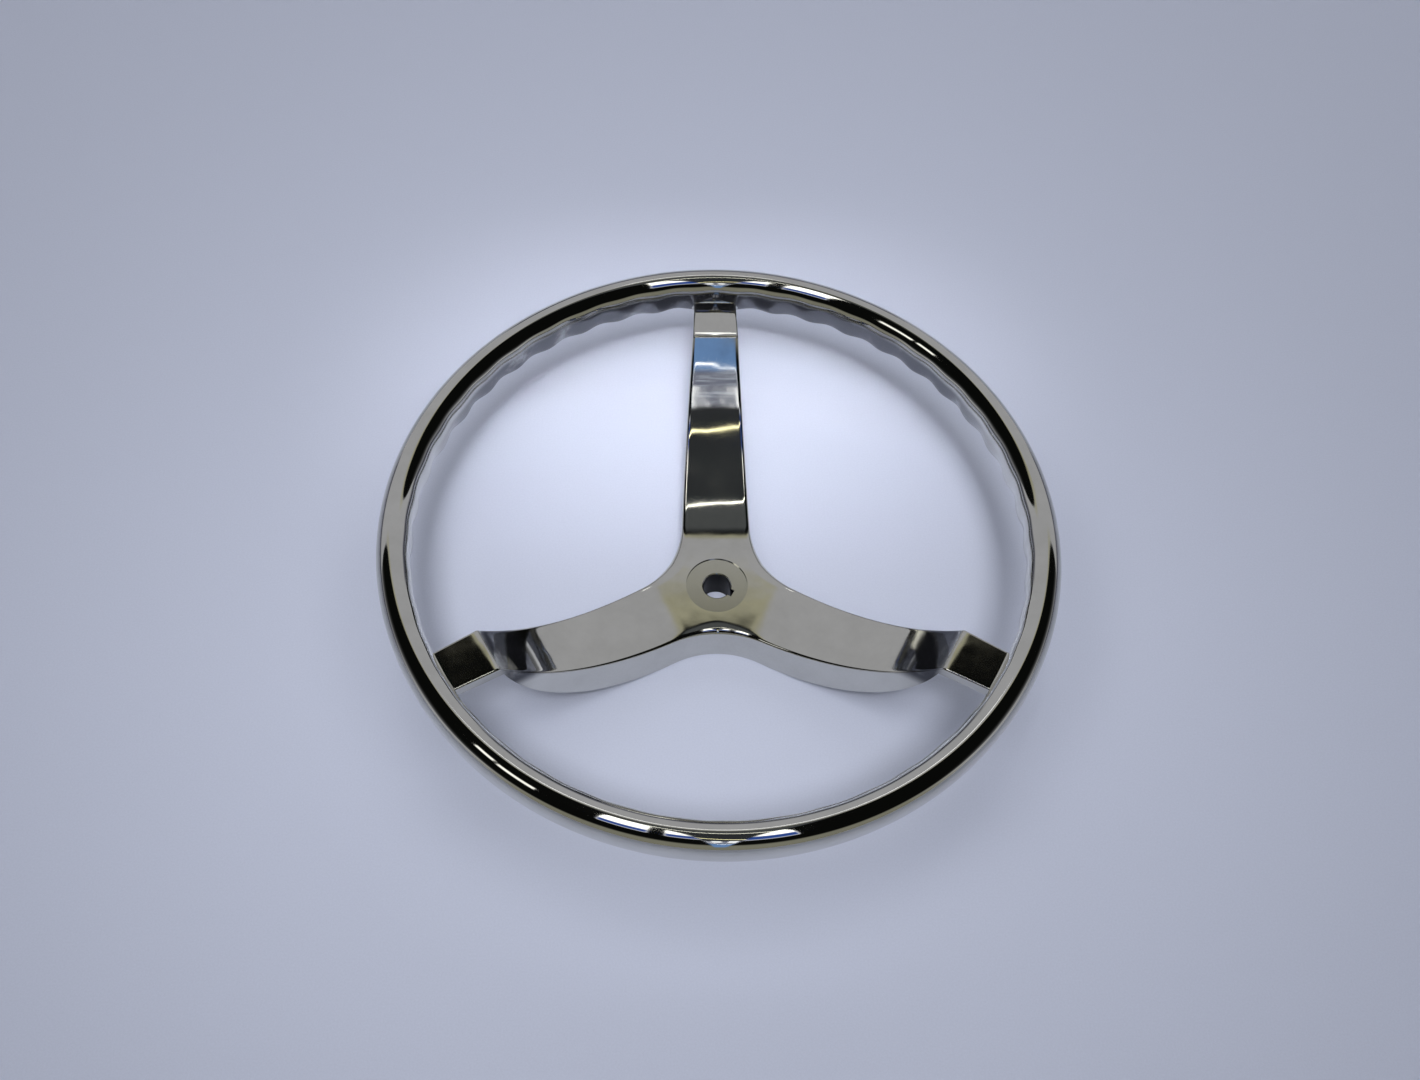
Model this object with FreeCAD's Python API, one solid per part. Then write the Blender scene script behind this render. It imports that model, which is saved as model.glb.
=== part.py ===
# Three-arm stainless steering wheel for a boat helm, lying face up on its hub.
#
# Frame: millimetres. The helm shaft's axis is Z, +Z points at the person who
# steers, the origin is on that axis in the plane of the hub's rear face, and
# one arm points along +Y.
#
# Two pieces: a closed ring with finger grips on its underside, and one casting
# with the hub, the three dished arms and the feet that are welded to the ring.

import FreeCAD, Part
import math
import os

V = FreeCAD.Vector

# Ring
RIM_OUTER_D = 393.7          # outside diameter of the wheel
RIM_TUBE_R = 9.525           # round upper half of the section
RIM_PLANE_Z = 90.2           # height of the section's centre
GRIP_COUNT = 45              # finger waves round the whole ring
GRIP_DROP = 18.5             # section's lowest point under its centre
OUTER_FULLNESS = 0.64        # shape of the lower half, outer side
CREST_FULLNESS = 0.75        # inner side, on a wave's crest
GROOVE_FULLNESS = 0.55       # inner side, in a finger groove

# Hub
HUB_LENGTH = 25.4            # rear face to front face
BORE_REAR_R = 9.525          # large end of the 1:12 taper
BORE_TAPER = 1.0 / 12.0      # change of diameter per length
BORE_EDGE = 0.6              # bevel at the front mouth of the bore
KEY_WIDTH = 4.76
KEY_FLOOR_R = 11.2           # distance of the keyway's floor from the axis
KEY_ARM_ANGLE = -30.0        # the keyway points along this arm
SEAT_R = 19.05               # spot-faced seat for the shaft's washer and nut
SEAT_DEPTH = 0.8
BOSS_R = 20.0

# Arms
ARM_ANGLES = (90.0, 210.0, 330.0)
ARM_HALF_WIDTH = 24.3        # side faces' distance at the axis, at z = 0
ARM_NARROWING = 0.0368       # per millimetre outward
DRAFT = math.radians(3.0)    # the sides lean outward towards the open back
CORNER_R = 55.7              # concave outline between two arms, at z = 0
FLAT_REACH = 32.0            # the front is flat up to here, then rises
CREST_REACH = 149.6          # sharp crest where the rise ends
CREST_Z = 83.5
SKIRT_REACH = 45.0           # the sides' lower edge is level up to here, then rises on an arc
SKIRT_END = 1.6              # the arc ends this far inside the crest
FOOT_THICKNESS = 7.0
FOOT_FILLET = 4.5            # weld fillet where a foot meets the ring
WALL = 4.0                   # thickness of the casting's plate and sides
POCKET_REACH = 139.0         # outer end of the hollow in an arm's back
POCKET_CORNER = 4.0
HUB_EDGE_R = 6.0             # rounding of the front's edge in the hub's corners
EDGE_R = 2.0                 # the same along the arms and feet
CREST_R = 1.2                # rounding of the crest itself
OVERRUN = 5.0                # cutting bodies run this far past the metal

RIM_CENTRE_R = RIM_OUTER_D / 2.0 - RIM_TUBE_R
RIM_INNER_R = RIM_CENTRE_R - RIM_TUBE_R
FOOT_REACH = RIM_CENTRE_R    # the foot is cut back to the ring's skin
WELD_REACH = RIM_INNER_R + 0.02 * RIM_TUBE_R
FOOT_LOW = CREST_Z - FOOT_THICKNESS
SKIRT_RUN = CREST_REACH - SKIRT_END - SKIRT_REACH
SKIRT_R = (SKIRT_RUN ** 2 + FOOT_LOW ** 2) / (2.0 * FOOT_LOW)
HALF_SPAN = 1.36 * ARM_HALF_WIDTH    # half width of an arm's profile, past the hub's corners
BETA = math.atan(ARM_NARROWING)
RISE_R = ((CREST_REACH - FLAT_REACH) ** 2 + (CREST_Z - HUB_LENGTH) ** 2) / (
    2.0 * (CREST_Z - HUB_LENGTH))


def polar(radius, degrees, z):
    a = math.radians(degrees)
    return V(radius * math.cos(a), radius * math.sin(a), z)


def turned(shape, degrees):
    copy = shape.copy()
    copy.rotate(V(0, 0, 0), V(0, 0, 1), degrees)
    return copy


# The ring: round above, deeper below, with finger grooves on the inner lower side

def quarter(start, corner, end, fullness):
    """Quarter of the section's lower half: fullness 0.55 is an ellipse, 1 a box corner."""
    curve = Part.BezierCurve()
    curve.setPoles([start, start + (corner - start) * fullness, end + (corner - end) * fullness, end])
    return curve.toShape()


def section(degrees, inner_fullness):
    """Section of the ring at an angle: round top, outer lower and inner lower quarter."""
    def at(x, z):
        return polar(RIM_CENTRE_R + x, degrees, RIM_PLANE_Z + z)

    r = RIM_TUBE_R
    bottom = at(0.0, -GRIP_DROP)
    return Part.Wire([
        Part.Arc(at(-r, 0.0), at(0.0, r), at(r, 0.0)).toShape(),
        quarter(at(r, 0.0), at(r, -GRIP_DROP), bottom, OUTER_FULLNESS),
        quarter(bottom, at(-r, -GRIP_DROP), at(-r, 0.0), inner_fullness),
    ])


def ring():
    """Closed loft through three sections a wave; a finger groove lies on each arm."""
    pitch = 360.0 / GRIP_COUNT
    wave = ((0.25, GROOVE_FULLNESS), (0.5, CREST_FULLNESS), (0.75, GROOVE_FULLNESS))
    sections = []
    for k in range(GRIP_COUNT):
        for share, fullness in wave:
            sections.append(section(ARM_ANGLES[0] + pitch * (k + share), fullness))
    sections.append(sections[0])
    return Part.makeLoft(sections, True, True)


# The casting: plan outline, side profile, and the hollow in its back

def half_width(reach, z, inset):
    return ARM_HALF_WIDTH - ARM_NARROWING * reach - math.tan(DRAFT) * z - inset / math.cos(BETA)


def corner_arc(centre, radius, bisector, z, side):
    """Half of the concave corner on a bisector, from its middle to the arm's side."""
    swing = math.radians(30.0) - BETA
    hub = polar(centre, bisector, z)
    points = []
    for share in (0.0, 0.5, 1.0):
        turn = math.radians(bisector + 180.0) - side * swing * share
        points.append(hub + V(radius * math.cos(turn), radius * math.sin(turn), 0))
    if side < 0:
        points.reverse()
    return Part.Arc(*points).toShape()


def outline(z, inset, reach, corner, flare):
    """Closed outline of the three arms at height z, drawn in by inset."""
    base = half_width(0.0, z, inset)
    offset = (ARM_HALF_WIDTH - base) * math.cos(BETA)
    centre = (CORNER_R + ARM_HALF_WIDTH * math.cos(BETA)) / math.sin(math.radians(60) + BETA)
    radius = CORNER_R + offset
    tangent_x = centre * math.cos(math.radians(60)) - radius * math.sin(BETA)
    tangent_y = centre * math.sin(math.radians(60)) - radius * math.cos(BETA)
    edges = []
    for angle in ARM_ANGLES:
        a = math.radians(angle)

        def at(x, y):
            return V(x * math.cos(a) - y * math.sin(a), x * math.sin(a) + y * math.cos(a), z)

        edges.append(corner_arc(centre, radius, angle - 60.0, z, 1.0))
        if flare > 0:
            start = reach - flare
            w = half_width(start, z, inset)
            knee = flare * (1.0 - math.sqrt(0.5))
            top = FOOT_REACH
            edges.append(Part.makeLine(at(tangent_x, -tangent_y), at(start, -w)))
            edges.append(Part.Arc(at(start, -w), at(start + flare * math.sqrt(0.5), -w - knee),
                                  at(reach, -w - flare)).toShape())
            edges.append(Part.makeLine(at(reach, -w - flare), at(top, -w - flare)))
            edges.append(Part.makeLine(at(top, -w - flare), at(top, w + flare)))
            edges.append(Part.makeLine(at(top, w + flare), at(reach, w + flare)))
            edges.append(Part.Arc(at(reach, w + flare), at(start + flare * math.sqrt(0.5), w + knee),
                                  at(start, w)).toShape())
            edges.append(Part.makeLine(at(start, w), at(tangent_x, tangent_y)))
        else:
            w = half_width(reach, z, inset)
            knee = corner * (1.0 - math.sqrt(0.5))
            edges.append(Part.makeLine(at(tangent_x, -tangent_y), at(reach - corner, -w)))
            edges.append(Part.Arc(at(reach - corner, -w), at(reach - knee, -w + knee),
                                  at(reach, -w + corner)).toShape())
            edges.append(Part.makeLine(at(reach, -w + corner), at(reach, w - corner)))
            edges.append(Part.Arc(at(reach, w - corner), at(reach - knee, w - knee),
                                  at(reach - corner, w)).toShape())
            edges.append(Part.makeLine(at(reach - corner, w), at(tangent_x, tangent_y)))
        edges.append(corner_arc(centre, radius, angle + 60.0, z, -1.0))
    return Part.Wire(edges)


def prism(inset, reach, corner, flare, low, high):
    wires = [outline(low, inset, reach, corner, flare), outline(high, inset, reach, corner, flare)]
    return Part.makeLoft(wires, True, True)


def arc_height(x, start, radius, base):
    return base + radius - math.sqrt(radius ** 2 - (x - start) ** 2)


def side_profile(points):
    """Face in the X-Z plane from a list of points and (middle, end) arcs."""
    edges = []
    here = points[0]
    for item in points[1:]:
        if len(item) == 4:
            mid, end = item[:2], item[2:]
            edges.append(Part.Arc(V(here[0], 0, here[1]), V(mid[0], 0, mid[1]),
                                  V(end[0], 0, end[1])).toShape())
            here = end
        else:
            edges.append(Part.makeLine(V(here[0], 0, here[1]), V(item[0], 0, item[1])))
            here = item
    return Part.Face(Part.Wire(edges))


def front_slab(angle):
    """The arm's front in side profile: flat, risen to the crest, then the foot and its weld."""
    rise_mid = (FLAT_REACH + CREST_REACH) / 2.0
    knee = FOOT_FILLET * math.sqrt(0.5)
    end = FOOT_REACH + OVERRUN
    points = [
        (0.0, HUB_LENGTH),
        (FLAT_REACH, HUB_LENGTH),
        (rise_mid, arc_height(rise_mid, FLAT_REACH, RISE_R, HUB_LENGTH), CREST_REACH, CREST_Z),
        (WELD_REACH - FOOT_FILLET, CREST_Z),
        (WELD_REACH - FOOT_FILLET + knee, CREST_Z + FOOT_FILLET - knee, WELD_REACH, CREST_Z + FOOT_FILLET),
        (end, CREST_Z + FOOT_FILLET),
        (end, 0.0),
        (0.0, 0.0),
        (0.0, HUB_LENGTH),
    ]
    return slab(points, angle)


def under_slab(angle):
    """What is cut away under an arm: the skirt's rising edge and the foot's underside."""
    skirt_mid = SKIRT_REACH + SKIRT_RUN / 2.0
    end = FOOT_REACH + 2.0 * OVERRUN
    points = [
        (SKIRT_REACH, 0.0),
        (skirt_mid, arc_height(skirt_mid, SKIRT_REACH, SKIRT_R, 0.0), SKIRT_REACH + SKIRT_RUN, FOOT_LOW),
        (end, FOOT_LOW),
        (end, -OVERRUN),
        (SKIRT_REACH, -OVERRUN),
        (SKIRT_REACH, 0.0),
    ]
    return slab(points, angle)


def hollow_slab(angle):
    """The hollow in side profile: its roof runs one wall under the front."""
    roof_r = RISE_R + WALL
    end = POCKET_REACH + OVERRUN
    end_z = HUB_LENGTH + RISE_R - math.sqrt(roof_r ** 2 - (end - FLAT_REACH) ** 2)
    mid = (FLAT_REACH + POCKET_REACH) / 2.0
    mid_z = HUB_LENGTH + RISE_R - math.sqrt(roof_r ** 2 - (mid - FLAT_REACH) ** 2)
    points = [
        (0.0, HUB_LENGTH - WALL),
        (FLAT_REACH, HUB_LENGTH - WALL),
        (mid, mid_z, end, end_z),
        (end, -OVERRUN),
        (0.0, -OVERRUN),
        (0.0, HUB_LENGTH - WALL),
    ]
    return slab(points, angle)


def slab(points, angle):
    """Side profile, given its width and turned along an arm."""
    body = side_profile(points).extrude(V(0, 2.0 * HALF_SPAN, 0))
    body.translate(V(0, -HALF_SPAN, 0))
    return turned(body, angle)


def fused(shapes):
    whole = shapes[0]
    for shape in shapes[1:]:
        whole = whole.fuse(shape)
    return whole.removeSplitter()


def casting(rim):
    top = CREST_Z + FOOT_FILLET + OVERRUN
    body = fused([front_slab(angle) for angle in ARM_ANGLES])
    foot_end = RIM_INNER_R + RIM_TUBE_R / 6.0
    body = body.common(prism(0.0, foot_end, 0.0, FOOT_FILLET, -OVERRUN, top))
    body = rounded(body.removeSplitter())
    body = body.cut([under_slab(angle) for angle in ARM_ANGLES])
    hollow = fused([hollow_slab(angle) for angle in ARM_ANGLES])
    hollow = hollow.common(prism(WALL, POCKET_REACH, POCKET_CORNER, 0.0, -OVERRUN, top))
    boss = Part.makeCylinder(BOSS_R, HUB_LENGTH + OVERRUN, V(0, 0, -OVERRUN))
    body = body.cut(hollow.cut(boss))
    body = body.cut(hub_cuts())
    body = body.cut(rim)
    return max(body.Solids, key=lambda solid: solid.Volume)


def front_height(reach):
    if reach <= FLAT_REACH:
        return HUB_LENGTH
    if reach <= CREST_REACH:
        return arc_height(reach, FLAT_REACH, RISE_R, HUB_LENGTH)
    return CREST_Z


def on_arm(point):
    """Distance of a point along its nearest arm, and beside that arm's middle."""
    best = (-1.0, 0.0)
    for angle in ARM_ANGLES:
        a = math.radians(angle)
        along = point.x * math.cos(a) + point.y * math.sin(a)
        beside = abs(point.y * math.cos(a) - point.x * math.sin(a))
        best = max(best, (along, beside))
    return best


def edge_radius(point):
    """Rounding at a place along an arm: it shrinks from the hub's corner to the bend."""
    along = on_arm(point)[0]
    share = min(max((FLAT_REACH - along) / (FLAT_REACH / 2.0), 0.0), 1.0)
    return EDGE_R + (HUB_EDGE_R - EDGE_R) * share


def rounded(body):
    """Rounds the edges of the polished front, from the hub's corners to the feet."""
    doc = FreeCAD.newDocument("rounding")
    plain = doc.addObject("Part::Feature", "plain")
    plain.Shape = body.Solids[0]
    near = RIM_TUBE_R / 40.0
    edges = []
    for number, edge in enumerate(plain.Shape.Edges, 1):
        mid = edge.valueAt((edge.FirstParameter + edge.LastParameter) / 2.0)
        along, beside = on_arm(mid)
        if abs(mid.z - front_height(along)) > near or along > WELD_REACH - FOOT_FILLET:
            continue
        if beside > ARM_HALF_WIDTH / 4.0:
            ends = (edge.firstVertex(True).Point, edge.lastVertex(True).Point)
            edges.append((number, edge_radius(ends[0]), edge_radius(ends[1])))
        elif abs(along - CREST_REACH) < near:
            edges.append((number, CREST_R, CREST_R))
    fillet = doc.addObject("Part::Fillet", "fillet")
    fillet.Base = plain
    fillet.Edges = edges
    doc.recompute()
    return fillet.Shape


def hub_cuts():
    """Tapered bore with its keyway, the bevel at its mouth and the nut's seat."""
    slope = BORE_TAPER / 2.0
    length = HUB_LENGTH + 2.0 * OVERRUN
    start_r = BORE_REAR_R + OVERRUN * slope
    start = V(0, 0, -OVERRUN)
    bore = Part.makeCone(start_r, start_r - length * slope, length, start)
    seat_z = HUB_LENGTH - SEAT_DEPTH
    seat = Part.makeCylinder(SEAT_R, OVERRUN, V(0, 0, seat_z))
    mouth_r = BORE_REAR_R - slope * seat_z
    bevel = Part.makeCone(mouth_r, mouth_r + 2.0 * BORE_EDGE, 2.0 * BORE_EDGE,
                          V(0, 0, seat_z - BORE_EDGE))
    key = Part.makeBox(KEY_FLOOR_R, KEY_WIDTH, length, V(0, -KEY_WIDTH / 2.0, -OVERRUN))
    key.rotate(V(0, 0, 0), V(0, 0, 1), KEY_ARM_ANGLE)
    return bore.fuse([seat, bevel, key])


os.makedirs("parts", exist_ok=True)
grip_rim = ring()
spoke_casting = casting(grip_rim)
grip_rim.exportStep("parts/grip_rim.step")
spoke_casting.exportStep("parts/spoke_casting.step")
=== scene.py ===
# Three-arm stainless steering wheel for a boat helm, lying face up on its hub.
# Metres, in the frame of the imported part: the shaft's axis is Z, one arm points along +Y.

import math

import bmesh
import bpy
from mathutils import Matrix, Vector


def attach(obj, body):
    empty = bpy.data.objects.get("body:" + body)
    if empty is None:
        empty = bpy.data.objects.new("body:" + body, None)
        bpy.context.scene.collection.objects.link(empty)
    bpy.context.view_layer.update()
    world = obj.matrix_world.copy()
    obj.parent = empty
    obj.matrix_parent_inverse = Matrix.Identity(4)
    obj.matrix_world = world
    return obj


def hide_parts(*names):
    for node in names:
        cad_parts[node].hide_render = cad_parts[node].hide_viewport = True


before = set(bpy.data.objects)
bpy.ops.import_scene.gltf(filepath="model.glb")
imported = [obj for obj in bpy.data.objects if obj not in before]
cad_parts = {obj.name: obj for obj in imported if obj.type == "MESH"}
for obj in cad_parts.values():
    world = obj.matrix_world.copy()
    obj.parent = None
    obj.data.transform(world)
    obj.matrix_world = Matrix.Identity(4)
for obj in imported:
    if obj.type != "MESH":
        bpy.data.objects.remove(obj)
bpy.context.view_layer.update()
scene = bpy.context.scene
MM = 0.001


# Camera: a compact camera held above the front edge of the paper, looking down
# at the hub. The frame is 1420 x 1080 and the rim fills about half its width.

ELEVATION = math.radians(58.10)
ROLL = math.radians(2.68)
WHEEL_TURN = 3.06    # degrees by which the wheel lies turned before the camera
DISTANCE = 0.82782
RIM_PLANE = 0.0902    # height of the rim's tube over the paper
target = Vector((-0.00555, -0.00791, 0.0))    # where the camera looks, in that plane

back = Vector((0.0, -math.cos(ELEVATION), math.sin(ELEVATION)))
level = Vector((1.0, 0.0, 0.0))
rise = back.cross(level)
up = math.cos(ROLL) * rise - math.sin(ROLL) * level
around = Matrix.Rotation(math.radians(-WHEEL_TURN), 3, "Z")
place = around @ (target + DISTANCE * back) + Vector((0.0, 0.0, RIM_PLANE))
back, up = around @ back, around @ up
data = bpy.data.cameras.new("camera")
data.sensor_width = 36.0
data.lens = 36.425
data.clip_start = 0.01
data.clip_end = 50.0
camera = bpy.data.objects.new("camera", data)
scene.collection.objects.link(camera)
turned = Matrix((up.cross(back), up, back)).transposed()
camera.matrix_world = Matrix.Translation(place) @ turned.to_4x4()
scene.camera = camera


# Floor: a wide flat sheet of pale lilac-grey paper, matt and without a printed mark.

def linear(code):
    """Scene-linear colour of an sRGB hex code."""
    parts = [int(code[i:i + 2], 16) / 255.0 for i in (1, 3, 5)]
    low = [c / 12.92 if c <= 0.04045 else ((c + 0.055) / 1.055) ** 2.4 for c in parts]
    return (*low, 1.0)


def add(tree, kind, inputs=(), **settings):
    """Adds a node, sets its options, and fills its inputs with values or links."""
    made = tree.nodes.new(kind)
    for name, value in settings.items():
        setattr(made, name, value)
    for key, value in dict(inputs).items():
        if isinstance(value, bpy.types.NodeSocket):
            tree.links.new(value, made.inputs[key])
        else:
            made.inputs[key].default_value = value
    return made


def new_material(name):
    made = bpy.data.materials.new(name)
    made.use_nodes = True
    made.node_tree.nodes.clear()
    return made, made.node_tree


def mesh_object(name, points, faces, material):
    mesh = bpy.data.meshes.new(name)
    mesh.from_pydata(points, [], faces)
    mesh.materials.append(material)
    made = bpy.data.objects.new(name, mesh)
    scene.collection.objects.link(made)
    return made


paper, tree = new_material("matt_pale_lilac_paper")
where = add(tree, "ShaderNodeTexCoord").outputs["Object"]
grain = add(tree, "ShaderNodeTexNoise", {"Vector": where, "Scale": 900.0, "Detail": 4.0})
tone = add(tree, "ShaderNodeMapRange", {
    "Value": grain.outputs["Fac"], "From Min": 0.3, "From Max": 0.7})
mix = add(tree, "ShaderNodeMix", {"Factor": tone.outputs["Result"]}, data_type="RGBA")
mix.inputs["A"].default_value = linear("#C5CBDF")
mix.inputs["B"].default_value = linear("#CAD0E4")
bump = add(tree, "ShaderNodeBump", {
    "Height": grain.outputs["Fac"], "Strength": 0.05, "Distance": 0.0002})
surface = add(tree, "ShaderNodeBsdfPrincipled", {
    "Base Color": mix.outputs["Result"], "Roughness": 0.75, "Normal": bump.outputs["Normal"]})
add(tree, "ShaderNodeOutputMaterial", {"Surface": surface.outputs["BSDF"]})

PAPER_R, PAPER_SIDES = 6.0, 120
turns = [math.radians(360.0 / PAPER_SIDES * i) for i in range(PAPER_SIDES)]
points = [(PAPER_R * math.cos(a), PAPER_R * math.sin(a), 0.0) for a in turns]
floor = mesh_object("paper_floor", points, [tuple(range(PAPER_SIDES))], paper)


# Rim: a stainless tube about 19 mm wide, bent to a ring of 394 mm, butt-welded and
# mirror-polished. Its inner lower side is pressed into 45 finger waves.

def maths(tree, kind, *values):
    """Result of one math node for values or links."""
    made = add(tree, "ShaderNodeMath", operation=kind)
    for socket, value in zip(made.inputs, values):
        if isinstance(value, bpy.types.NodeSocket):
            tree.links.new(value, socket)
        else:
            socket.default_value = value
    return made.outputs[0]


def ramp(tree, value, start, end):
    """0 at start, 1 at end, smooth between them."""
    made = add(tree, "ShaderNodeMapRange", {
        "Value": value, "From Min": start, "From Max": end}, interpolation_type="SMOOTHSTEP")
    return made.outputs["Result"]


def length(tree, a, b):
    """Length of the flat vector (a, b)."""
    return maths(tree, "SQRT", maths(
        tree, "ADD", maths(tree, "MULTIPLY", a, a), maths(tree, "MULTIPLY", b, b)))


def rim_group():
    """Node group that shapes the ring from its named sizes."""
    group = bpy.data.node_groups.new("finger_wave_ring", "GeometryNodeTree")
    face = group.interface
    face.new_socket("Geometry", in_out="OUTPUT", socket_type="NodeSocketGeometry")
    sizes = (
        ("Ring Radius", 0.187325), ("Ring Height", RIM_PLANE), ("Tube Radius", 0.009525),
        ("Depth Below", 0.0185), ("Waves", 45.0), ("Outer Fullness", 0.64),
        ("Mean Fullness", 0.65), ("Wave Fullness", 0.10), ("Wave Depth", 0.00035),
    )
    for name, value in sizes:
        socket = face.new_socket(name, in_out="INPUT", socket_type="NodeSocketFloat")
        socket.default_value = value
    for name, value in (("Columns", 721), ("Rows", 65)):
        socket = face.new_socket(name, in_out="INPUT", socket_type="NodeSocketInt")
        socket.default_value = value
    face.new_socket("Material", in_out="INPUT", socket_type="NodeSocketMaterial")
    given = group.nodes.new("NodeGroupInput").outputs

    def calc(kind, *values):
        return maths(group, kind, *values)

    def choose(test, yes, no):
        """yes where test is 1, no where it is 0."""
        return calc("ADD", no, calc("MULTIPLY", test, calc("SUBTRACT", yes, no)))

    grid = add(group, "GeometryNodeMeshGrid", {
        "Size X": 1.0, "Size Y": 1.0, "Vertices X": given["Columns"], "Vertices Y": given["Rows"]})
    spot = add(group, "ShaderNodeSeparateXYZ", {
        "Vector": group.nodes.new("GeometryNodeInputPosition").outputs[0]})
    around = calc("ADD", spot.outputs["X"], 0.5)
    across = calc("ADD", spot.outputs["Y"], 0.5)

    # Section, as shares of the way round it: over the round top from outside to inside up
    # to top_end, down the inner lower quarter to low_end, up the outer lower quarter to 1.
    top_end, low_end = 0.4, 0.7
    r, deep = given["Tube Radius"], given["Depth Below"]
    is_top = calc("LESS_THAN", across, top_end)
    is_inner = calc("LESS_THAN", across, low_end)
    turn = calc("MULTIPLY", across, math.pi / top_end)
    top_x = calc("MULTIPLY", r, calc("COSINE", turn))
    top_z = calc("MULTIPLY", r, calc("SINE", turn))
    t = choose(is_inner, calc("DIVIDE", calc("SUBTRACT", across, top_end), low_end - top_end),
               calc("DIVIDE", calc("SUBTRACT", 1.0, across), 1.0 - low_end))
    wave = calc("COSINE", calc("MULTIPLY", calc("MULTIPLY", around, given["Waves"]), 2.0 * math.pi))
    inner = calc("SUBTRACT", given["Mean Fullness"], calc("MULTIPLY", given["Wave Fullness"], wave))
    full = choose(is_inner, inner, given["Outer Fullness"])

    # Each lower quarter is a cubic curve: b0 to b3 weigh its end, its two handles, which
    # stand out by the fullness, and the bottom.
    rest = calc("SUBTRACT", 1.0, t)
    b0 = calc("POWER", rest, 3.0)
    b1 = calc("MULTIPLY", calc("MULTIPLY", calc("POWER", rest, 2.0), t), 3.0)
    b2 = calc("MULTIPLY", calc("MULTIPLY", calc("POWER", t, 2.0), rest), 3.0)
    b3 = calc("POWER", t, 3.0)
    wide = calc("ADD", calc("ADD", b0, b1), calc("MULTIPLY", b2, full))
    low = calc("ADD", calc("ADD", calc("MULTIPLY", b1, full), b2), b3)
    side = choose(is_inner, -1.0, 1.0)
    x = choose(is_top, top_x, calc("MULTIPLY", calc("MULTIPLY", wide, r), side))

    # The waves also swell the inner side, up to wave_end on the round top.
    wave_end = 0.26
    swell = calc("DIVIDE", calc("SUBTRACT", across, wave_end), low_end - wave_end)
    swell = calc("MINIMUM", calc("MAXIMUM", swell, 0.0), 1.0)
    swell = calc("POWER", calc("SINE", calc("MULTIPLY", swell, math.pi)), 2.0)
    x = calc("ADD", x, calc("MULTIPLY", calc("MULTIPLY", swell, wave), given["Wave Depth"]))
    z = choose(is_top, top_z, calc("MULTIPLY", calc("MULTIPLY", low, deep), -1.0))
    reach = calc("ADD", given["Ring Radius"], x)
    angle = calc("ADD", calc("MULTIPLY", around, 2.0 * math.pi), math.pi / 2.0)
    ring_point = add(group, "ShaderNodeCombineXYZ", {
        "X": calc("MULTIPLY", reach, calc("COSINE", angle)),
        "Y": calc("MULTIPLY", reach, calc("SINE", angle)),
        "Z": calc("ADD", given["Ring Height"], z)})
    placed = add(group, "GeometryNodeSetPosition", {
        "Geometry": grid.outputs["Mesh"], "Position": ring_point.outputs["Vector"]})
    closed = add(group, "GeometryNodeMergeByDistance", {
        "Geometry": placed.outputs["Geometry"], "Distance": 0.00001})
    smooth = add(group, "GeometryNodeSetShadeSmooth", {"Geometry": closed.outputs["Geometry"]})
    real = add(group, "GeometryNodeRealizeInstances", {"Geometry": smooth.outputs["Geometry"]})
    painted = add(group, "GeometryNodeSetMaterial", {
        "Geometry": real.outputs["Geometry"], "Material": given["Material"]})
    out = group.nodes.new("NodeGroupOutput")
    group.links.new(painted.outputs["Geometry"], out.inputs["Geometry"])
    return group


CLIMB = 0.035


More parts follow.
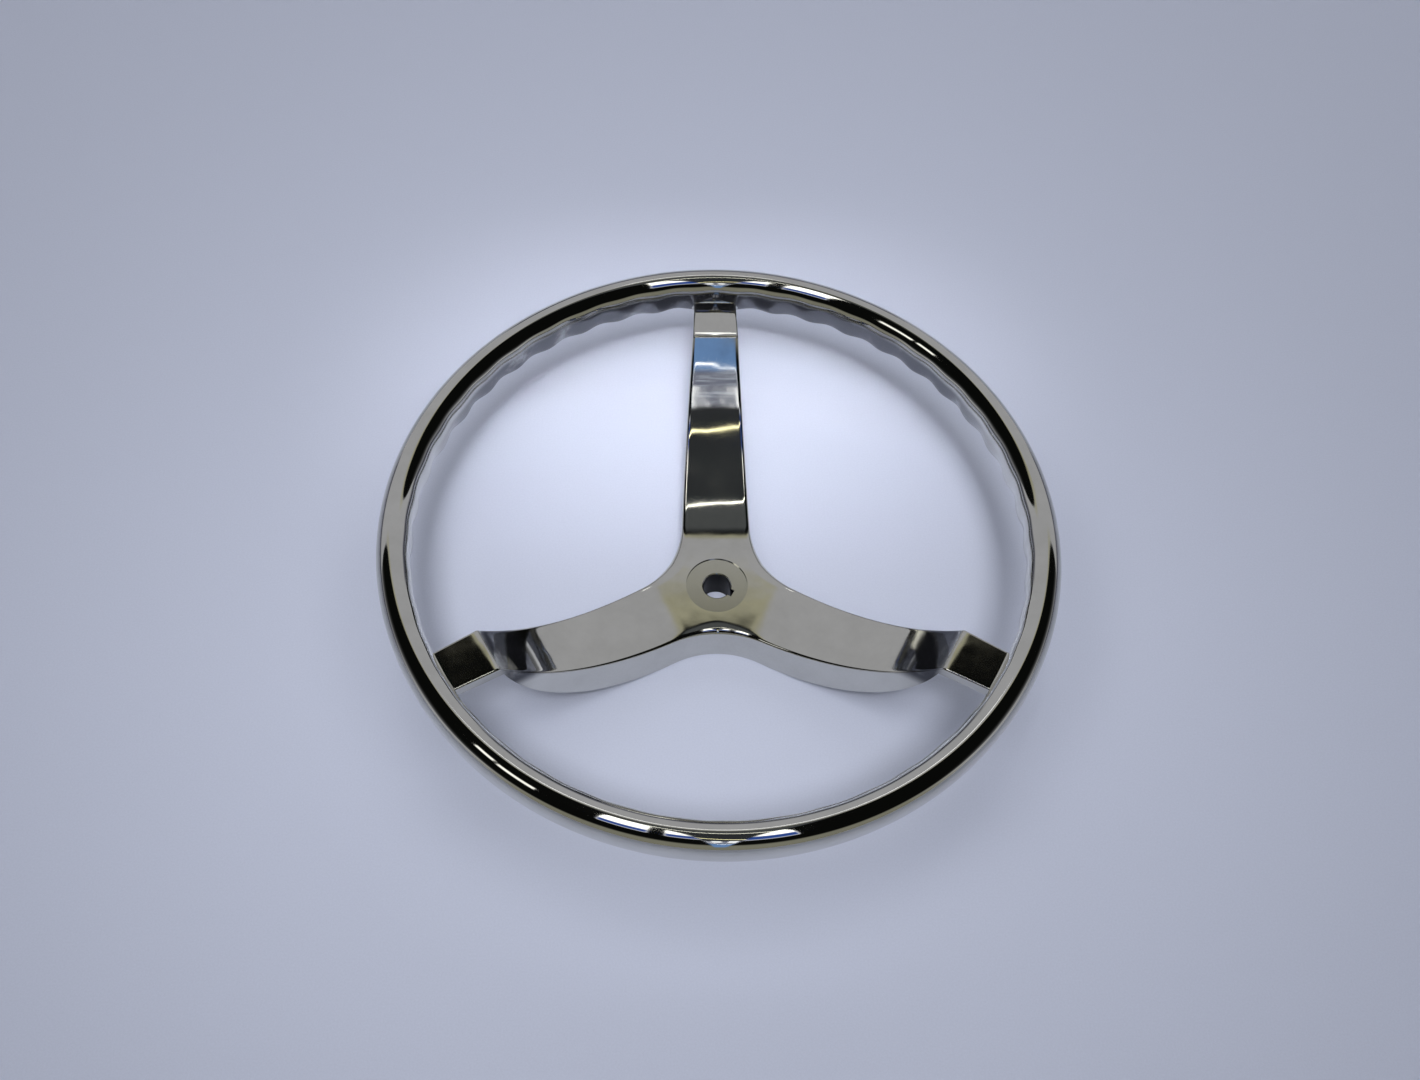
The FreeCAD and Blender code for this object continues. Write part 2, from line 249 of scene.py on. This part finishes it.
def polished_steel(name, tint, gloss_low, gloss_high, swell, darkening_code, grey_share, steps):
    """Mirror-polished stainless with faint cloudy smears and the buffing wheel's slow
    waviness. Where the (axis, start, end) steps give in metres, the colour darkens and a
    share of it turns flat dark grey: painted dark reflection on the rim. The axis
    slant is the height over a plane that climbs slightly to the back."""
    made, tree = new_material(name)
    where = add(tree, "ShaderNodeTexCoord").outputs["Object"]
    smear = add(tree, "ShaderNodeTexNoise", {
        "Vector": where, "Scale": 45.0, "Detail": 5.0, "Roughness": 0.6})
    hairs = add(tree, "ShaderNodeTexNoise", {"Vector": where, "Scale": 1400.0, "Detail": 2.0})
    gloss = add(tree, "ShaderNodeMapRange", {
        "Value": smear.outputs["Fac"], "From Min": 0.35, "From Max": 0.7,
        "To Min": gloss_low, "To Max": gloss_high})
    tone = add(tree, "ShaderNodeMix", {"Factor": smear.outputs["Fac"]}, data_type="RGBA")
    tone.inputs["A"].default_value = linear(tint)
    tone.inputs["B"].default_value = linear("#BFBEB8")
    spot = add(tree, "ShaderNodeSeparateXYZ", {"Vector": where}).outputs
    along = {
        "radius": length(tree, spot["X"], spot["Y"]), "height": spot["Z"], "depth": spot["Y"],
        "slant": maths(tree, "SUBTRACT", spot["Z"], maths(tree, "MULTIPLY", spot["Y"], CLIMB))}
    # The steps darken the colour and lay a share of flat dark grey over it: painted dark reflection
    # on the rim, a darker patch on the casting.
    darkened = ramp(tree, smear.outputs["Fac"], 0.15, 0.5)
    for axis, start, end in steps:
        darkened = maths(tree, "MULTIPLY", darkened, ramp(tree, along[axis], start, end))
    darkened_tone = add(tree, "ShaderNodeMix", {"Factor": darkened}, data_type="RGBA")
    tree.links.new(tone.outputs["Result"], darkened_tone.inputs["A"])
    darkened_tone.inputs["B"].default_value = linear(darkening_code)
    waves = add(tree, "ShaderNodeTexNoise", {"Vector": where, "Scale": 60.0, "Detail": 1.0})
    fine = add(tree, "ShaderNodeBump", {
        "Height": hairs.outputs["Fac"], "Strength": 0.1, "Distance": 0.00001})
    slow = add(tree, "ShaderNodeBump", {
        "Height": waves.outputs["Fac"], "Strength": 1.0, "Distance": swell,
        "Normal": fine.outputs["Normal"]})
    surface = add(tree, "ShaderNodeBsdfPrincipled", {
        "Base Color": darkened_tone.outputs["Result"], "Metallic": 1.0,
        "Roughness": gloss.outputs["Result"], "Normal": slow.outputs["Normal"]})
    grey = add(tree, "ShaderNodeBsdfDiffuse", {"Color": linear("#34353A")})
    both = add(tree, "ShaderNodeMixShader", {
        0: maths(tree, "MULTIPLY", darkened, grey_share),
        1: surface.outputs["BSDF"], 2: grey.outputs["BSDF"]})
    add(tree, "ShaderNodeOutputMaterial", {"Surface": both.outputs["Shader"]})
    return made


# Painted dark reflection: the inner side of the far half is darkened from about the tube's middle
# down.
rim_steel = polished_steel(
    "mirror_polished_stainless_tube", "#D9D8D3", 0.02, 0.05, 0.00001, "#8C8D91", 0.55,
    (("slant", 0.0890, 0.0835), ("radius", 0.187, 0.183), ("depth", 0.04, 0.12)))
group = rim_group()
maker = bpy.data.objects.new("rim_maker", bpy.data.meshes.new("rim_maker"))
scene.collection.objects.link(maker)
modifier = maker.modifiers.new("ring", "NODES")
modifier.node_group = group
for item in group.interface.items_tree:
    if item.in_out == "INPUT":
        if item.name == "Material":
            modifier[item.identifier] = rim_steel
        else:
            modifier[item.identifier] = item.default_value
bpy.context.view_layer.update()
grown = maker.evaluated_get(bpy.context.evaluated_depsgraph_get())
rim_mesh = bpy.data.meshes.new_from_object(grown)
maker.modifiers.remove(modifier)
bpy.data.objects.remove(maker)
rim_mesh.name = "finger_grip_rim"
rim = bpy.data.objects.new("finger_grip_rim", rim_mesh)
scene.collection.objects.link(rim)
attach(rim, "root")
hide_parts("grip_rim")


# Casting: hub, three dished arms and feet, cast in stainless as one hollow-backed piece,
# ground, buffed bright on the front and welded to the rim at the three feet.

# Sizes in millimetres: forms as in the part's source, rounded edges as the photo shows them.
# t runs along an arm from the shaft's axis.
ARM_ANGLES = (90.0, 210.0, 330.0)
HALF_SECTOR = math.radians(60.0)
HALF_WIDTH, NARROWING = 24.3, 0.0368    # an arm's sides at the axis, and per millimetre of t
BETA = math.atan(NARROWING)
TANGENT_NORMAL = Vector((math.sin(BETA), math.cos(BETA)))
DRAFT_ANGLE = math.radians(3.0)         # by which the sides lean
DRAFT = math.tan(DRAFT_ANGLE)
CORNER_R = 55.7                         # concave outline between two arms
HUB = 25.4                              # height of the hub's front
FLAT, CREST, CREST_Z = 32.0, 149.6, 83.5    # t where the rise starts and ends, its height
RISE_R = ((CREST - FLAT) ** 2 + (CREST_Z - HUB) ** 2) / (2.0 * (CREST_Z - HUB))
CREST_ROUND = 2.0
FOOT_SAG, SAG_REACH = 0.09, 3.0         # the buffed foot dips just past the crest
SLOPE_STEP = 0.2                        # over which the front's slope is taken
SKIRT, SKIRT_END, FOOT_LOW = 45.0, 148.0, 76.5    # the lower edge rises in between
SKIRT_R = ((SKIRT_END - SKIRT) ** 2 + FOOT_LOW ** 2) / (2.0 * FOOT_LOW)
WELD, WELD_R = 178.0, 1.2               # the rim's skin, and the weld's fillet
ARM_END = 181.0                         # inside the rim's tube
ROLL_R = 50.0                           # shallow roll-off inside the buffed edge
WALL, POCKET, POCKET_R = 4.0, 139.0, 4.0    # the hollow ends at POCKET in an arc
BEVEL, COVE = 0.5, 3.0                  # at the lower edge, and under the roof
SEAT_R, SEAT_Z, BOSS_R = 19.05, 24.6, 20.0    # nut seat, and the boss in the hollow
BORE_R, BORE_SLOPE = 9.525, 1.0 / 24.0  # at the rear mouth, 1 in 12 on the diameter
KEY_HALF, KEY_FLOOR, KEY_ANGLE = 2.38, 11.2, -30.0    # half width, floor from the axis

# Numbers of points: round the hub's rings, along a corner, and down a column in its order.
TURNS = 144
ON_FLOOR, ON_BORE = 4, 6                # last on the key's floor, first on the bore
TURNING, AXIS = 24, 14                  # a corner's stations round the seat, then along the arm
FRONT_ROWS, ROLL_ROWS, EDGE_ROWS, SIDE_ROWS, BEVEL_ROWS = 12, 4, 10, 7, 3
WALL_ROWS, COVE_ROWS, ROOF_ROWS = 3, 5, 8
UNDER_ROWS = BEVEL_ROWS + 1 + WALL_ROWS + COVE_ROWS + ROOF_ROWS


def front(t):
    """Height of the front along an arm: flat hub, circular rise, crest, foot."""
    lead = math.asin((CREST - FLAT) / RISE_R)
    reach = CREST_ROUND * math.tan(lead / 2.0)    # of the crest's round, along the foot
    if t <= FLAT:
        return HUB
    if t < CREST - reach * math.cos(lead):
        return HUB + RISE_R - math.sqrt(RISE_R ** 2 - (t - FLAT) ** 2)
    past = t - CREST - reach
    sag = FOOT_SAG * max(0.0, 1.0 - max(0.0, past) / SAG_REACH) ** 2
    if past < 0.0:
        return CREST_Z - sag - CREST_ROUND + math.sqrt(CREST_ROUND ** 2 - past ** 2)
    return CREST_Z - sag


def underside(t):
    """Height of the sides' lower edge, and of the solid underside near the foot."""
    if t <= SKIRT:
        return 0.0
    if t < SKIRT_END:
        return SKIRT_R - math.sqrt(SKIRT_R ** 2 - (t - SKIRT) ** 2)
    return FOOT_LOW


def roof(t):
    """Height of the hollow's top, one wall under the front."""
    if t <= FLAT:
        return HUB - WALL
    return HUB + RISE_R - math.sqrt((RISE_R + WALL) ** 2 - (t - FLAT) ** 2)


def weld_flare(t):
    """How far the arm's skin swells out into the weld."""
    run = min(max(t - (WELD - WELD_R), 0.0), WELD_R)
    return WELD_R - math.sqrt(WELD_R ** 2 - run ** 2)


def edge_round(t):
    """Radius of the buffed edge: widest in the hub's corners, fine on the feet."""
    marks = ((17.0, 4.6), (32.0, 3.0), (43.0, 1.8), (CREST, 1.3), (173.0, 1.1))    # t, radius
    if t <= marks[0][0]:
        return marks[0][1]
    for (a, ra), (b, rb) in zip(marks, marks[1:]):
        if t <= b:
            return ra + (rb - ra) * (t - a) / (b - a)
    return marks[-1][1]


def buffed_roll(t):
    """Width of the shallow roll-off that buffing leaves inside the edge: 4.5 mm in the
    hub's corners, 1.4 along the arm, 0.3 on the foot."""
    along_arm = min(max((t - 20.0) / 25.0, 0.0), 1.0)
    near_foot = min(max((t - 140.0) / 12.0, 0.0), 1.0)
    return 4.5 - 3.1 * along_arm - 1.1 * near_foot


def corner_stations():
    """Half a concave corner: outline point, normal, inner end in front and behind."""
    # The corner's centre lies on the line halfway between two arms.
    far = (CORNER_R + HALF_WIDTH * math.cos(BETA)) / math.sin(HALF_SECTOR + BETA)
    middle = Vector((far * math.cos(HALF_SECTOR), far * math.sin(HALF_SECTOR)))
    tangent = middle - CORNER_R * TANGENT_NORMAL
    count = TURNING + AXIS
    for i in range(count + 1):
        lean = HALF_SECTOR + (math.radians(30.0) - BETA) * i / count
        normal = Vector((math.cos(lean), math.sin(lean)))
        if i <= TURNING:
            a = math.radians(60.0 * (1.0 - i / TURNING))
            ray = Vector((math.cos(a), math.sin(a)))
            seat, boss = ray * SEAT_R, ray * BOSS_R
        else:
            share = (i - TURNING) / AXIS
            seat = Vector((SEAT_R + (tangent.x - SEAT_R) * share, 0.0))
            boss = Vector((BOSS_R + (tangent.x - BOSS_R) * share, 0.0))
        yield middle - CORNER_R * normal, normal, seat, boss, True


def side_stations(start):
    """The straight side: the same, from the corner's end to inside the rim."""
    flare = WELD - WELD_R
    spans = (    # from, to, stations: closest on the crest
        (start, 130.0, 58), (130.0, POCKET, 12), (POCKET, POCKET, 1), (POCKET, CREST - 1.0, 16),
        (CREST - 1.0, CREST + 1.0, 20), (CREST + 1.0, flare - 0.2, 14), (flare - 0.2, flare, 1))
    marks = [(low + (high - low) * (i + 1) / n, high <= POCKET and low < POCKET)
             for low, high, n in spans for i in range(n)]
    rounds = [math.sin(math.radians(9.0 * (i + 1))) for i in range(10)]
    marks += [(flare + WELD_R * share, False) for share in rounds]
    marks.append((ARM_END, False))
    for t, hollow in marks:
        middle = Vector((t, 0.0))
        yield Vector((t, HALF_WIDTH - NARROWING * t)), TANGENT_NORMAL, middle, middle, hollow


def column(base, normal, seat, boss, hollow):
    """Points from the front's middle over the edge, down the side and back under the roof."""
    t = base.x
    flare, radius, roll = weld_flare(t), edge_round(t), buffed_roll(t)
    low, top = underside(t), front(t) + flare
    slope = math.atan((front(t) - front(t - SLOPE_STEP)) / SLOPE_STEP)
    rows = []

    def put(inset, z):
        p = base - normal * inset
        rows.append((p.x, p.y, z))

    def depth(z):
        """Inset of the drafted side face at a height."""
        return DRAFT * math.cos(BETA) * z - flare

    # The front, then the roll-off and the round edge.
    centre = depth(top - radius) + radius / math.cos(DRAFT_ANGLE)
    lean = roll / ROLL_R
    begin = centre - radius * math.sin(lean) + roll
    start = base - normal * begin
    for j in range(FRONT_ROWS):
        p = seat.lerp(start, j / FRONT_ROWS)
        rows.append((p.x, p.y, front(p.x) + flare))
    steps = [roll * j / ROLL_ROWS for j in range(ROLL_ROWS)]
    drops = [(begin - step, step ** 2 / (2.0 * ROLL_R)) for step in steps]
    for j in range(EDGE_ROWS):
        a = math.radians(90.0) + lean + (math.radians(87.0) - lean) * j / (EDGE_ROWS - 1)
        drops.append((centre + radius * math.cos(a),
                      roll ** 2 / (2.0 * ROLL_R) + radius * (math.cos(lean) - math.sin(a))))
    for inset, drop in drops:
        put(inset, front((base - normal * inset).x) + flare - drop / math.cos(slope))

    # The side face and the bevel at its foot.
    high = rows[-1][2]
    bevel = min(BEVEL, (high - low) / 4.0)
    for j in range(1, SIDE_ROWS + 1):
        z = high + (low + bevel - high) * j / SIDE_ROWS
        put(depth(z), z)
    for j in range(1, BEVEL_ROWS + 1):
        a = math.radians(90.0 / BEVEL_ROWS * j)
        put(depth(low) + bevel * (1.0 - math.cos(a)), low + bevel * (1.0 - math.sin(a)))
    if not hollow:
        begin = Vector(rows[-1][:2])
        for j in range(1, UNDER_ROWS + 1):
            p = begin.lerp(boss, j / UNDER_ROWS)
            rows.append((p.x, p.y, low))
        return rows

    # The hollow: up inside the wall, round the cove and in along the roof.
    narrow = max(0.0, t - (POCKET - POCKET_R))
    wall = WALL + POCKET_R - math.sqrt(max(POCKET_R ** 2 - narrow ** 2, 0.0))
    cove = min(COVE, (roof(t) - low) / 3.0)
    for j in range(BEVEL_ROWS + 1):
        a = math.radians(90.0 / BEVEL_ROWS * j)
        put(depth(low) + wall - bevel * (1.0 - math.sin(a)), low + bevel * (1.0 - math.cos(a)))
    for j in range(1, WALL_ROWS + 1):
        z = low + bevel + (roof(t) - cove - low - bevel) * j / WALL_ROWS
        put(depth(z) + wall, z)
    for j in range(1, COVE_ROWS + 1):
        a = math.radians(90.0 / COVE_ROWS * j)
        inset = depth(roof(t) - cove) + wall + cove * (1.0 - math.cos(a))
        put(inset, roof((base - normal * inset).x) - cove * (1.0 - math.sin(a)))
    begin = Vector(rows[-1][:2])
    for j in range(1, ROOF_ROWS + 1):
        p = begin.lerp(boss, j / ROOF_ROWS)
        rows.append((p.x, p.y, roof(p.x)))
    return rows


def bore_ring(z, bevel=0.0):
    """Section of the tapered bore with its keyway, from the key's middle round."""
    r = BORE_R - BORE_SLOPE * z + bevel
    edge = math.asin(KEY_HALF / r)
    corner = math.atan(KEY_HALF / KEY_FLOOR)
    ring = []
    for k in range(TURNS):
        side = 1.0 if k <= TURNS // 2 else -1.0
        n = min(k, TURNS - k)
        if n <= ON_FLOOR:
            a = corner * n / ON_FLOOR
            reach = KEY_FLOOR / math.cos(a)
        elif n < ON_BORE:
            a = (corner + edge) / 2.0
            reach = KEY_HALF / math.sin(a)
        else:
            a = edge + (math.pi - edge) * (n - ON_BORE) / (TURNS // 2 - ON_BORE)
            reach = r
        a = math.radians(KEY_ANGLE) + side * a
        ring.append((reach * math.cos(a), reach * math.sin(a), z))
    return ring


def plain_ring(r, z):
    turns = [math.radians(KEY_ANGLE + 360.0 / TURNS * k) for k in range(TURNS)]
    return [(r * math.cos(a), r * math.sin(a), z) for a in turns]


turned_steel, tree = new_material("faced_stainless_seat")
where = add(tree, "ShaderNodeTexCoord").outputs["Object"]
haze = add(tree, "ShaderNodeTexNoise", {"Vector": where, "Scale": 120.0, "Detail": 3.0})
gloss = add(tree, "ShaderNodeMapRange", {
    "Value": haze.outputs["Fac"], "To Min": 0.10, "To Max": 0.16})
surface = add(tree, "ShaderNodeBsdfPrincipled", {
    "Base Color": linear("#CAC9C0"), "Metallic": 1.0, "Roughness": gloss.outputs["Result"]})
add(tree, "ShaderNodeOutputMaterial", {"Surface": surface.outputs["BSDF"]})

# The bore's walls are painted near black: painted shade inside the bore, mottled a little.
bored_steel, tree = new_material("stainless_bore_painted_shade")
where = add(tree, "ShaderNodeTexCoord").outputs["Object"]
bore_shade_mottle = add(tree, "ShaderNodeTexNoise", {"Vector": where, "Scale": 300.0, "Detail": 4.0})
tone = add(tree, "ShaderNodeMix", {"Factor": bore_shade_mottle.outputs["Fac"]}, data_type="RGBA")
tone.inputs["A"].default_value = linear("#0B0B0A")
tone.inputs["B"].default_value = linear("#191817")
surface = add(tree, "ShaderNodeBsdfPrincipled", {
    "Base Color": tone.outputs["Result"], "Metallic": 1.0, "Roughness": 0.42})
add(tree, "ShaderNodeOutputMaterial", {"Surface": surface.outputs["BSDF"]})

# The metal is darker and partly flat grey on the steep upper ends of the two front arms.
cast_steel = polished_steel(
    "buffed_cast_stainless", "#D9D8D2", 0.03, 0.08, 0.00006, "#5E5F63", 0.2,
    (("height", 0.056, 0.066), ("radius", 0.151, 0.146), ("depth", 0.0, -0.03)))

# Arms: each is a half of columns side by side, and its mirror image.
points, faces = [], []
corner = list(corner_stations())
stations = corner + list(side_stations(corner[-1][0].x))
columns = [column(*station) for station in stations]
size = len(columns[0])
for angle in ARM_ANGLES:
    c, s = math.cos(math.radians(angle)), math.sin(math.radians(angle))
    for side in (1.0, -1.0):
        first = len(points)
        for rows in columns:
            points += [(x * c - side * y * s, x * s + side * y * c, z) for x, y, z in rows]
        half = []
        for i in range(len(columns) - 1):
            for j in range(size - 1):
                a = first + i * size + j
                half.append((a, a + size, a + size + 1, a + 1))
        last = first + (len(columns) - 1) * size
        half.append(tuple(last + j for j in reversed(range(size))))
        faces += half if side > 0 else [tuple(reversed(f)) for f in half]

# Hub: down the seat's wall, in over the seat, through the bore, and up the boss inside.
BUFFED, FACED, BORED = 0, 1, 2
rings = [
    (plain_ring(SEAT_R, HUB), BUFFED), (plain_ring(SEAT_R, SEAT_Z), FACED),
    (plain_ring(14.0, SEAT_Z), FACED), (bore_ring(SEAT_Z, 0.6), FACED),
    (bore_ring(SEAT_Z - 0.6), BORED), (bore_ring(18.0), BORED), (bore_ring(12.0), BORED),
    (bore_ring(6.0), BORED), (bore_ring(0.4), BORED), (bore_ring(0.0, 0.4), BUFFED),
    (plain_ring(BOSS_R - 0.5, 0.0), BUFFED), (plain_ring(BOSS_R, 0.5), BUFFED),
    (plain_ring(BOSS_R, 12.0), BUFFED), (plain_ring(BOSS_R, HUB - WALL), BUFFED)]
first = len(points)
finish = {}
for ring, _ in rings:
    points += ring
for i, (_, slot) in enumerate(rings[:-1]):
    for k in range(TURNS):
        a, b = first + TURNS * i + k, first + TURNS * i + (k + 1) % TURNS
        finish[len(faces)] = slot
        faces.append((a, a + TURNS, b + TURNS, b))
casting = mesh_object("spoke_hub_casting", [Vector(p) * MM for p in points], faces, cast_steel)
casting.data.materials.append(turned_steel)
casting.data.materials.append(bored_steel)
for number, slot in finish.items():
    casting.data.polygons[number].material_index = slot

# The points that the arms' halves and the hub's rings share are made one.
shape = bmesh.new()
shape.from_mesh(casting.data)
bmesh.ops.remove_doubles(shape, verts=shape.verts, dist=0.000002)
bmesh.ops.dissolve_degenerate(shape, edges=shape.edges, dist=0.000001)
shape.to_mesh(casting.data)
shape.free()
casting.data.shade_smooth()
casting.data.set_sharp_from_angle(angle=math.radians(38.0))
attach(casting, "root")
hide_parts("spoke_casting")


# Light: a photographer's table tent. Grey cloth walls stand round the paper and the top is
# open to a dark room with a few windows. Soft lamps hang above the opening.

world = bpy.data.worlds.new("light_tent")
scene.world = world
world.use_nodes = True
tree = world.node_tree
tree.nodes.clear()


def calc(kind, *values):
    return maths(tree, kind, *values)


def overlap(*factors):
    """1 only where every factor is 1."""
    shared = factors[0]
    for factor in factors[1:]:
        shared = calc("MULTIPLY", shared, factor)
    return shared


def between(value, low, high, soft):
    """1 from low to high, fading to 0 over a soft margin on both sides."""
    return overlap(ramp(tree, value, low - soft, low), ramp(tree, value, high + soft, high))


def tinted(factor, below, code, glow=1.0):
    """The colour below, turned to the coded colour where factor is 1."""
    mix = add(tree, "ShaderNodeMix", {"Factor": factor}, data_type="RGBA")
    if isinstance(below, bpy.types.NodeSocket):
        tree.links.new(below, mix.inputs["A"])
    else:
        mix.inputs["A"].default_value = linear(below)
    mix.inputs["B"].default_value = [c * glow for c in linear(code)]
    return mix.outputs["Result"]


# A direction's place in the sky: where it passes through a level plane one metre up.
direction = add(tree, "ShaderNodeTexCoord").outputs["Generated"]
sight = add(tree, "ShaderNodeSeparateXYZ", {"Vector": direction}).outputs
climb = calc("MAXIMUM", sight["Z"], 0.02)
east = calc("DIVIDE", sight["X"], climb)
north = calc("DIVIDE", sight["Y"], climb)
aside = calc("ABSOLUTE", east)

# Cloth walls: olive grey in front, darker at their foot behind the wheel, with a pale seam
# low in the two far corners.
bearing = calc("DEGREES", calc("ARCTAN2", calc("ABSOLUTE", sight["X"]), sight["Y"]))
corners = between(bearing, 24.0, 44.0, 4.0)
lowest = overlap(ramp(tree, sight["Z"], 0.24, 0.08), ramp(tree, sight["Y"], -0.2, 0.2),
                 calc("SUBTRACT", 1.0, corners))
under_seam = overlap(corners, ramp(tree, sight["Z"], 0.028, 0.012))
seam = overlap(corners, between(sight["Z"], 0.030, 0.042, 0.006))
room = tinted(ramp(tree, sight["Y"], -0.3, -0.7), "#B5B6BB", "#8B8A7D")
room = tinted(lowest, room, "#5C5E6B")
room = tinted(under_seam, room, "#77797E")
room = tinted(seam, room, "#D8DAE2")

# Dark room over the open top, with an olive back edge that falls off to the sides.
far_aside = calc("MAXIMUM", calc("SUBTRACT", aside, 0.25), 0.0)
edge = calc("SUBTRACT", north, calc("MULTIPLY", far_aside, 0.30))
olive = overlap(between(edge, 0.545, 0.560, 0.045), ramp(tree, aside, 1.1, 0.2))
opening = overlap(ramp(tree, edge, 0.556, 0.532), ramp(tree, north, -2.1, -1.4),
                  ramp(tree, aside, 8.0, 1.5))
room = tinted(calc("MULTIPLY", olive, 0.9), room, "#AEAB90")
room = tinted(opening, room, "#0D0E0D")

# Windows, by the fan and tilt in degrees of the steel in which the camera sees them: the fan
# turns from the front to the right, the tilt rises from level to upright.
TO_CAMERA = (0.0, -0.528, 0.849)    # unit vector from the wheel, before the wheel's turn
turned = add(tree, "ShaderNodeVectorRotate", {
    "Vector": direction, "Angle": math.radians(WHEEL_TURN)}, rotation_type="Z_AXIS")
facing = add(tree, "ShaderNodeVectorMath", {
    0: turned.outputs["Vector"], 1: TO_CAMERA}, operation="ADD")
facing = add(tree, "ShaderNodeSeparateXYZ", {"Vector": facing.outputs["Vector"]}).outputs
fan = calc("DEGREES", calc("ARCTAN2", facing["X"], calc("MULTIPLY", facing["Y"], -1.0)))
tilt = calc("DEGREES", calc("ARCTAN2", facing["Z"], length(tree, facing["X"], facing["Y"])))
# No window stands in the middle, where the bay is.
off_middle = calc("SUBTRACT", 1.0, between(east, -0.008, 0.070, 0.012))
for fan_low, fan_high, tilt_low, tilt_high, glow, blue_foot in (
        (-17.8, -9.8, 62.0, 80.0, 3.0, True), (-6.2, 1.2, 62.0, 80.0, 3.0, True),
        (6.0, 15.2, 60.0, 80.0, 3.0, True), (-36.8, -29.9, 62.0, 65.0, 1.7, False),
        (-41.9, -38.4, 64.0, 67.0, 1.7, False)):
    pane = overlap(between(fan, fan_low, fan_high, 0.6),
                   between(tilt, tilt_low, tilt_high, 3.0), off_middle)
    room = tinted(pane, room, "#FFFFFA", glow)
    if blue_foot:
        room = tinted(overlap(pane, ramp(tree, tilt, 71.0, 66.0)), room, "#3358B0")

# Bay in the middle of the dark room, by its bands from the front to the back.
across = calc("SUBTRACT", east, 0.0315)
beside = calc("ABSOLUTE", across)
middle = ramp(tree, beside, 0.080, 0.060)
clouds = add(tree, "ShaderNodeTexNoise", {"Vector": direction, "Scale": 60.0, "Detail": 4.0})
mottled = overlap(middle, ramp(tree, clouds.outputs["Fac"], 0.50, 0.66))
spots = between(calc("ABSOLUTE", calc("SUBTRACT", east, 0.040)), 0.016, 0.050, 0.004)
for width, low, high, soft, code, glow in (
        (middle, -2.80, -1.08, 0.12, "#7399D0", 1.1),    # blue daylight
        (middle, -1.12, -0.72, 0.12, "#7D8196", 1.0),    # sill
        (mottled, -1.15, -0.70, 0.10, "#C9D2E4", 1.0),   # its paler patches
        (spots, -0.88, -0.66, 0.05, "#F6F9FF", 1.7),     # two lights over it
        (middle, -0.60, 0.47, 0.08, "#34373A", 1.0),     # dark ceiling
        (middle, 0.22, 0.45, 0.06, "#55585A", 1.0)):     # its paler back
    room = tinted(overlap(between(north, low, high, soft), width), room, code, glow)

# Three thin tubes across the bay, one bowed and two slanting.
off_bow = calc("SUBTRACT", across, 0.006)
bow = calc("MULTIPLY", calc("MULTIPLY", off_bow, off_bow), 110.0)
bowed = calc("SUBTRACT", north, bow)
steep = calc("ADD", north, calc("MULTIPLY", across, 1.1))
gentle = calc("ADD", north, calc("MULTIPLY", across, 0.8))
for line, low, high, soft, code, glow in (
        (bowed, -1.330, -1.306, 0.012, "#F4F8FF", 3.4),
        (steep, -0.418, -0.402, 0.010, "#FFF7C4", 3.4),
        (gentle, 0.222, 0.232, 0.008, "#FFFEF0", 4.0)):
    room = tinted(overlap(between(line, low, high, soft), middle), room, code, glow)

# Light line past the back edge, which the top arm's crest catches.
crest = overlap(between(north, 0.733, 0.760, 0.010), ramp(tree, beside, 0.050, 0.035))
room = tinted(crest, room, "#FFFFFF", 2.6)

# The camera itself sees a plain pale wall behind the paper.
room = tinted(add(tree, "ShaderNodeLightPath").outputs["Is Camera Ray"], room, "#BFC4D3")
air = add(tree, "ShaderNodeBackground", {"Color": room, "Strength": 1.0})
add(tree, "ShaderNodeOutputWorld", {"Surface": air.outputs["Background"]})


def soft_lamp(name, place, aim, sides, power, spread=180.0):
    """A soft panel that the steel doesn't mirror, by its watts and degrees of spread."""
    data = bpy.data.lights.new(name, "AREA")
    data.shape = "RECTANGLE"
    data.size, data.size_y = sides
    data.energy = power
    data.spread = math.radians(spread)
    made = bpy.data.objects.new(name, data)
    scene.collection.objects.link(made)
    made.location = place
    made.rotation_euler = (Vector(aim) - Vector(place)).to_track_quat("-Z", "Y").to_euler()
    made.visible_glossy = False
    made.visible_camera = False


soft_lamp("pool_panel", (-0.04, -0.14, 0.62), (-0.04, 0.08, 0.0), (0.45, 0.45), 0.72, 110.0)
soft_lamp("panel_at_the_back", (0.0, 0.75, 0.90), (0.0, 0.35, 0.0), (1.00, 0.50), 0.8)
soft_lamp("glow_in_front", (-0.01, -0.40, 1.00), (-0.01, 0.165, 0.0), (0.30, 0.05), 0.11, 16.0)

# One broad distant lamp stands in front of the zenith.
LEAN_TO_FRONT = math.radians(24.0)
data = bpy.data.lights.new("distant_soft_lamp", "SUN")
data.energy = 0.95
data.angle = math.radians(12.0)
sun = bpy.data.objects.new("distant_soft_lamp", data)
scene.collection.objects.link(sun)
sun.rotation_euler = (LEAN_TO_FRONT, 0.0, 0.0)
sun.visible_glossy = False

scene.view_settings.view_transform = "Standard"
